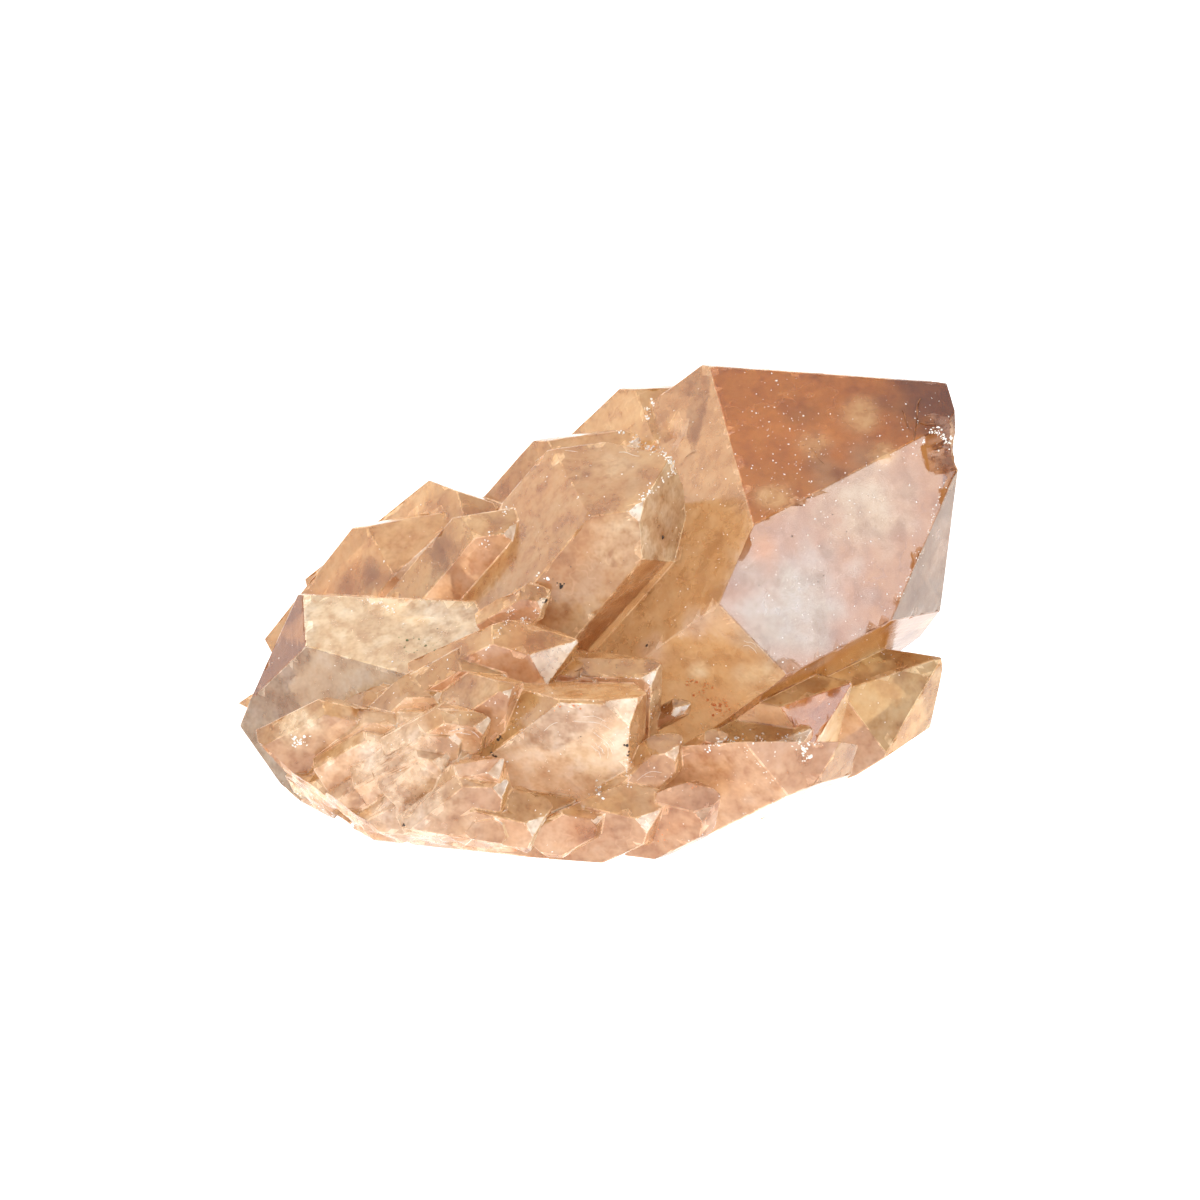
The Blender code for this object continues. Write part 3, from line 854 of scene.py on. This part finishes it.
# %% Crust along the bruised edges
# grains, size in mm, places (right, up)
BRUISES = [
    (200, 0.15, ((1.9, 15.6), (3.8, 14.6), (6.6, 13.1), (6.9, 12.1), (5.2, 10.7), (3.7, 9.2))),
    (110, 0.15, ((9.8, -13.8), (11.4, -13.1), (14.9, -12.7), (18.7, -13.1), (20.7, -13.3))),
    (40, 0.07, ((17.2, -6.9), (23.3, -3.7), (27.7, -0.1))),
    (80, 0.09, ((27.7, -0.1), (30.3, 5.6), (32.2, 11.2))),
    (36, 0.06, ((14.2, 7.2), (21.5, 10.7), (29.7, 14.8))),
    (80, 0.16, ((29.7, 14.8), (31.3, 15.7), (32.7, 14.9), (33.2, 13.5))),
    (40, 0.14, ((-21.9, 0.0), (-20.5, -0.4), (-19.1, -1.1))),
    (60, 0.10, ((-11.4, -5.6), (-9.3, -2.8), (-7.5, 0.2))),
    (30, 0.12, ((-7.9, -2.3), (-5.6, -1.1))),
    (30, 0.14, ((4.2, 16.8), (4.7, 19.1))),
    (24, 0.14, ((-10.9, 5.1), (-9.5, 7.2), (-8.1, 9.3))),
    (50, 0.09, ((-15.2, -12.6), (-7.9, -8.2), (-7.5, -12.6))),
    (50, 0.09, ((2.6, -11.6), (2.7, -15.0), (2.6, -17.7))),
    (60, 0.09, ((13.2, -13.8), (17.4, -18.2), (8.4, -22.4))),
    (50, 0.08, ((0.0, -7.2), (3.7, -7.3), (4.7, -7.9), (4.9, -11.2))),
    (24, 0.20, ((-0.3, -17.6), (0.4, -17.9))), (16, 0.18, ((-6.3, -20.0), (-5.8, -20.3))),
    (16, 0.20, ((-5.8, 2.2), (-5.3, 2.0))), (20, 0.22, ((18.7, -14.0), (19.6, -14.4))),
    (30, 0.18, ((-28.4, -13.0), (-27.6, -13.3))),
    (50, 0.11, ((-30.0, -17.0), (-26.5, -19.2), (-24.0, -20.6))),
]
BUNCH_SIZE, BUNCH_LEVEL = 0.9 * MM, -0.12
# how far a grain strays from its line, and how its size varies, in times the size given
LINE_SPREAD, CRUST_SIZES = 1.7, (0.35, 1.0)


def along_line(spots, part):
    """The place at a part, 0 to 1, of the way along a line of places."""
    step = part * (len(spots) - 1)
    number = min(int(step), len(spots) - 2)
    return Vector(spots[number]).lerp(Vector(spots[number + 1]), step - number)


crust = []
for count, size, spots in BRUISES:
    for _ in range(count):
        where = along_line(spots, rng.random())
        stray = size * LINE_SPREAD
        met = seen(surface, where.x + rng.gauss(0, stray), where.y + rng.gauss(0, stray))
        grain_size = size * rng.uniform(*CRUST_SIZES) * MM
        if not met or noise.noise(met[0] / BUNCH_SIZE) < BUNCH_LEVEL:
            continue
        if lies_inside(met[0], grain_size * GRAIN_ROOM):
            crust.append(grain_spot(met[0], met[1], grain_size))
scatter("bruised_crust", crust, quartz_powder)

# %% [markdown]
# ## Dust all over
#
# Dust lies on every face that doesn't look down. Faces are drawn by chance, large ones more
# often, so that the dust is even. Most grains are small and a few are large. They are drawn
# a little coarser than life, where real ones would be thinner than a pixel.

# %% Dust all over
DUST_COUNT = 1300
DUST_SMALL, DUST_SPAN = 0.02, 0.07
LOOKS_DOWN = -0.2
DUST_ROOM = 0.2 * MM

sizes = np.empty(len(crystals.data.polygons))
crystals.data.polygons.foreach_get("area", sizes)
chosen = np.random.default_rng(5).choice(len(sizes), DUST_COUNT, p=sizes / sizes.sum())
dust = []
for number in chosen:
    face = crystals.data.polygons[int(number)]
    grain_size = (DUST_SMALL + DUST_SPAN * rng.random() ** 3) * MM
    if face.normal.z < LOOKS_DOWN or not lies_inside(face.center, DUST_ROOM):
        continue
    dust.append(grain_spot(face.center.copy(), face.normal.copy(), grain_size))
print("grains all over:", len(dust))

# %% [markdown]
# ## Dusty places
#
# More dust gathers where it was seen: on the large crystal's caps and among the small
# crystals in front. Each such place is a loose cloud of grains, thick in its middle.

# %% Dusty places
# a place (right, up), how far it spreads in mm, grains, size in mm
DUSTY = [
    ((17.0, 15.0), 2.6, 110, 0.075), ((21.0, 11.5), 3.0, 60, 0.07), ((29.0, 16.0), 2.2, 60, 0.08),
    ((22.0, 4.0), 5.0, 130, 0.05), ((24.0, -4.5), 3.0, 60, 0.06), ((10.0, 9.0), 4.0, 60, 0.05),
    ((-5.0, 10.0), 3.0, 40, 0.07), ((-18.0, -2.0), 4.0, 50, 0.07), ((-5.0, -14.0), 5.0, 80, 0.07),
    ((8.0, -14.0), 6.0, 80, 0.06), ((-16.0, -14.0), 5.0, 70, 0.07),
]


def cloud_of_grains(spots, size_low=0.4):
    """Grains spread round places of the view."""
    made = []
    for (right, up), spread, count, size in spots:
        for _ in range(count):
            met = seen(surface, right + rng.gauss(0, spread), up + rng.gauss(0, spread))
            grain_size = size * (size_low + 1.1 * rng.random() ** 3) * MM
            if met and lies_inside(met[0], grain_size * GRAIN_ROOM):
                made.append(grain_spot(met[0], met[1], grain_size))
    return made


scatter("dust", dust + cloud_of_grains(DUSTY), house_dust)

# %% [markdown]
# ## Rust, dark and green specks
#
# Iron rust sits in crevices, and black and green mineral specks lie here and there in
# groups of a few. They are made as the dusty places are, only tighter.

# %% Rust, dark and green specks
RUST_SPOTS = [((8.4, -7.7), 0.35, 14, 0.13), ((9.8, -8.4), 0.3, 12, 0.13),
              ((11.5, -10.1), 0.7, 34, 0.15), ((8.4, -17.3), 0.3, 9, 0.12),
              ((5.6, -22.0), 0.5, 12, 0.12), ((-4.0, -9.6), 0.5, 8, 0.09),
              ((-2.0, -9.3), 0.5, 10, 0.09), ((-14.0, -9.2), 0.8, 8, 0.10)]
DARK_SPOTS = [((2.5, -13.6), 0.12, 5, 0.16), ((2.6, -14.4), 0.12, 3, 0.12),
              ((-9.3, -12.9), 0.15, 6, 0.15), ((-9.9, -14.5), 0.15, 5, 0.15),
              ((-18.4, -21.0), 0.1, 3, 0.14), ((5.8, 5.8), 0.1, 3, 0.13),
              ((5.4, 6.8), 0.1, 2, 0.11), ((-3.7, 1.5), 0.2, 5, 0.15),
              ((-5.1, -0.2), 0.1, 3, 0.12), ((4.4, -4.2), 0.1, 3, 0.12),
              ((20.0, 5.0), 3.0, 14, 0.06), ((-4.0, -6.0), 6.0, 16, 0.07)]
GREEN_SPOTS = [((-17.6, -4.3), 0.7, 16, 0.12), ((-16.0, -4.5), 0.6, 12, 0.12)]
scatter("rust_specks", cloud_of_grains(RUST_SPOTS), iron_rust)
scatter("dark_specks", cloud_of_grains(DARK_SPOTS, 0.7), dark_mineral)
scatter("green_specks", cloud_of_grains(GREEN_SPOTS), green_chlorite)

# %% [markdown]
# ## Healed cracks
#
# Cracks that healed while the crystal grew show as thin curved white veils just under a
# face. They are hair-thin threads laid on the face, and so is the lint later on, so one
# function makes both: a smooth curve through places on the face, with a round section.

# %% Threads along a curve on the face
THREAD_ROOM = 0.4 * MM


def thread(thickness, height, spots):
    """A mesh tube over the face through places of the view, or None where it would miss."""
    met = [seen(surface, *spot) for spot in spots]
    if not all(met) or not all(lies_inside(hit, THREAD_ROOM) for hit, _, _ in met):
        return None
    curve = bpy.data.curves.new("thread", "CURVE")
    curve.dimensions = "3D"
    curve.bevel_depth = thickness * MM
    curve.bevel_resolution = 0
    curve.resolution_u = 5
    line = curve.splines.new("NURBS")
    line.points.add(len(spots) - 1)
    line.use_endpoint_u = True
    for number, (hit, normal, _) in enumerate(met):
        lift = height * MM * math.sin(math.pi * number / (len(spots) - 1))
        line.points[number].co = (*(hit + normal * lift), 1)
    tube = bpy.data.objects.new("thread", curve)
    bpy.context.scene.collection.objects.link(tube)
    only(tube)
    bpy.ops.object.convert(target="MESH")
    return bpy.context.object


def join_threads(name, threads, material):
    """Join the threads that were made to one object, ready for the model."""
    threads = [tube for tube in threads if tube]
    only(threads[0])
    for tube in threads:
        tube.select_set(True)
    bpy.ops.object.join()
    joined = bpy.context.object
    joined.name = joined.data.name = name
    joined.data.materials.clear()
    joined.data.materials.append(material)
    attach(joined, "root")
    print(name, "threads:", len(threads), "faces:", len(joined.data.polygons))


# %% [markdown]
# ## Parts of rings
#
# Each healed crack is part of a ring round a place of the view. Some lie inside each other,
# as the growth of the crystal left them. Their radius wavers, and their ends and distances
# change by chance, so that they don't look drawn with compasses.

# %% Healed cracks
# middle (right, up), radius in mm, first and last angle, how many rings inside each other
ARCS = [
    ((-1.5, -15.2), 4.4, 45, 110, 2), ((-1.5, -15.2), 3.2, 10, 75, 4),
    ((-1.2, -14.4), 1.9, -15, 40, 2), ((-3.6, -13.2), 1.8, 90, 160, 1),
    ((-3.0, 8.6), 5.4, 80, 125, 1), ((1.5, 9.5), 4.4, 50, 95, 1),
    ((13.5, -5.5), 1.6, 20, 100, 2), ((-16.0, -4.0), 2.4, 60, 120, 1),
    ((-13.0, -14.0), 2.0, 30, 120, 2), ((5.0, -18.0), 2.0, 60, 150, 2),
]
RING_STEP, RING_WAVER, ARC_POINTS = 0.42, 0.12, 6
# how the steps between rings, their far ends and their thickness in mm vary
STEP_SPREAD, END_SPREAD, RING_THICKNESS = (0.6, 1.4), (0, 1.5), (0.010, 0.024)


def arc_spots(middle, radius, first_angle, last_angle):
    """Places along part of a wavering ring."""
    spots = []
    for number in range(ARC_POINTS):
        part = number / (ARC_POINTS - 1)
        angle = math.radians(first_angle + (last_angle - first_angle) * part)
        reach = radius + rng.uniform(-RING_WAVER, RING_WAVER)
        spots.append((middle[0] + reach * math.cos(angle), middle[1] + reach * math.sin(angle)))
    return spots


rings = []
for middle, radius, first_angle, last_angle, count in ARCS:
    for number in range(count):
        cut = rng.uniform(0, (last_angle - first_angle) / 3)
        reach = radius - RING_STEP * number * rng.uniform(*STEP_SPREAD)
        end = last_angle - cut * rng.uniform(*END_SPREAD)
        spots = arc_spots(middle, reach, first_angle + cut, end)
        rings.append(thread(rng.uniform(*RING_THICKNESS), 0.0, spots))
join_threads("healed_cracks", rings, quartz_powder)

# %% [markdown]
# ## Lint
#
# A few textile fibres cling to the large crystal's tip. Each is a thin tube along a curve
# that curls off the face by chance and touches it again.

# %% Lint fibres
# thickness in mm, height over the face, places (right, up)
FIBRES = [
    (0.06, 0.35, ((29.9, 18.8), (29.4, 17.9), (29.9, 17.0), (29.3, 16.0), (29.3, 14.9))),
    (0.045, 0.25, ((28.2, 17.7), (28.6, 17.2), (28.4, 16.5), (28.9, 15.9))),
    (0.04, 0.30, ((29.6, 16.6), (30.6, 16.2), (31.6, 16.6), (32.2, 15.9))),
    (0.020, 0.20, ((19.6, 14.2), (20.3, 13.8), (20.1, 13.2), (20.9, 12.7))),
    (0.018, 0.15, ((7.9, 13.2), (8.6, 13.9), (9.2, 13.8))),
]


# brown cotton fluff: matt, and darker or lighter along its length
lint_fibre = grain_material("lint_fibre", "4E2814", "A56E45", 0.8 * MM, 0.7)
join_threads("lint", [thread(*spec) for spec in FIBRES], lint_fibre)

# %% [markdown]
# ## Floor
#
# The specimen lies on a bright white sheet, so bright that it shows no shadow. The sheet
# is therefore a plain light of itself, which also renders much faster than lit paper does.
# It only sets the stage and belongs to no piece.

# %% Floor
FLOOR_SIZE = 3.0
FLOOR_GAP = 0.02 * MM
SHEET_GLOW = 1.85

bpy.ops.object.select_all(action="DESELECT")
bpy.ops.mesh.primitive_plane_add(size=FLOOR_SIZE, location=(0, 0, -FLOOR_GAP))
floor = bpy.context.object
floor.name = "floor"
# matt white paper, lit until it burns out: a pure white ground
material, tree, output = new_material("white_sheet")
sheet = add(tree, "ShaderNodeEmission", Color=(1, 1, 1, 1), Strength=SHEET_GLOW)
tree.links.new(sheet.outputs["Emission"], output.inputs["Surface"])
floor.data.materials.append(material)
print("floor, m:", FLOOR_SIZE)

# %% [markdown]
# ## Light tent
#
# A tent of white cloth lights the specimen from all sides. It is a world colour whose
# strength changes with the direction: less on the camera's side, so that the front faces
# keep their shading, and less on the right, where the large crystal's faces would burn out.

# %% Light tent
world = bpy.data.worlds.new("light_tent")
bpy.context.scene.world = world
world.use_nodes = True
tree = world.node_tree
tree.nodes.clear()
output = add(tree, "ShaderNodeOutputWorld")
coords = add(tree, "ShaderNodeTexCoord")
axes = add(tree, "ShaderNodeSeparateXYZ", links={"Vector": (coords, "Generated")})
depth = add(tree, "ShaderNodeMapRange", links={"Value": (axes, "Y")},
            From_Min=-0.8, From_Max=0.3, To_Min=1.28, To_Max=1.95)
across = add(tree, "ShaderNodeMapRange", links={"Value": (axes, "X")},
             From_Min=-0.3, From_Max=0.7, To_Min=1.0, To_Max=0.38)
strength = add(tree, "ShaderNodeMath", {"operation": "MULTIPLY"},
               {0: (depth, "Result"), 1: (across, "Result")})
tent = add(tree, "ShaderNodeBackground", links={"Strength": (strength, "Value")},
           Color=(1, 1, 1, 1))
tree.links.new(tent.outputs["Background"], output.inputs["Surface"])
print("tent nodes:", len(tree.nodes))

# %% [markdown]
# ## Softbox
#
# The large crystal's front cap face is etched and shines pale blue-grey, because it mirrors
# a lamp. So one soft lamp stands just where that face mirrors it to the camera: the view
# direction, mirrored at the face.

# %% Softbox
SOFTBOX_DISTANCE, SOFTBOX_SIZE, SOFTBOX_POWER = 0.6, 0.20, 0.88
SOFTBOX_COLOUR = (0.88, 0.94, 1.0)

cap = CAPS[0]
toward = 2 * cap.dot(VIEW_DIRECTION) * cap - VIEW_DIRECTION
lamp = bpy.data.lights.new("cap_softbox", "AREA")
lamp.shape = "SQUARE"
lamp.size = SOFTBOX_SIZE
lamp.energy = SOFTBOX_POWER
lamp.color = SOFTBOX_COLOUR
holder = bpy.data.objects.new("cap_softbox", lamp)
holder.location = place(0, 0, 0) + toward * SOFTBOX_DISTANCE
holder.rotation_euler = toward.to_track_quat("Z", "Y").to_euler()
bpy.context.scene.collection.objects.link(holder)
print("softbox toward:", [round(v, 2) for v in toward])

# %% [markdown]
# ## Camera
#
# The camera stands 0.9 m away and looks 20 degrees down. Its lens follows from how many
# millimetres of the specimen one pixel of the photograph shows. Everything is kept sharp.

# %% Camera
SENSOR = 36.0
MM_PER_PIXEL = 0.0933
PICTURE_PIXELS = 1200
picture_width = MM_PER_PIXEL * PICTURE_PIXELS * MM
lens = SENSOR * CAMERA_DISTANCE / picture_width
camera_data = bpy.data.cameras.new("camera")
camera_data.sensor_width = SENSOR
camera_data.lens = lens
camera_data.clip_start = 0.05
camera_data.clip_end = 20
camera = bpy.data.objects.new("camera", camera_data)
camera.location = EYE
camera.rotation_mode = "QUATERNION"
camera.rotation_quaternion = VIEW_DIRECTION.to_track_quat("Z", "Y")
bpy.context.scene.collection.objects.link(camera)
bpy.context.scene.camera = camera
bpy.context.scene.view_settings.view_transform = "Standard"
print("lens, mm:", round(lens, 1))
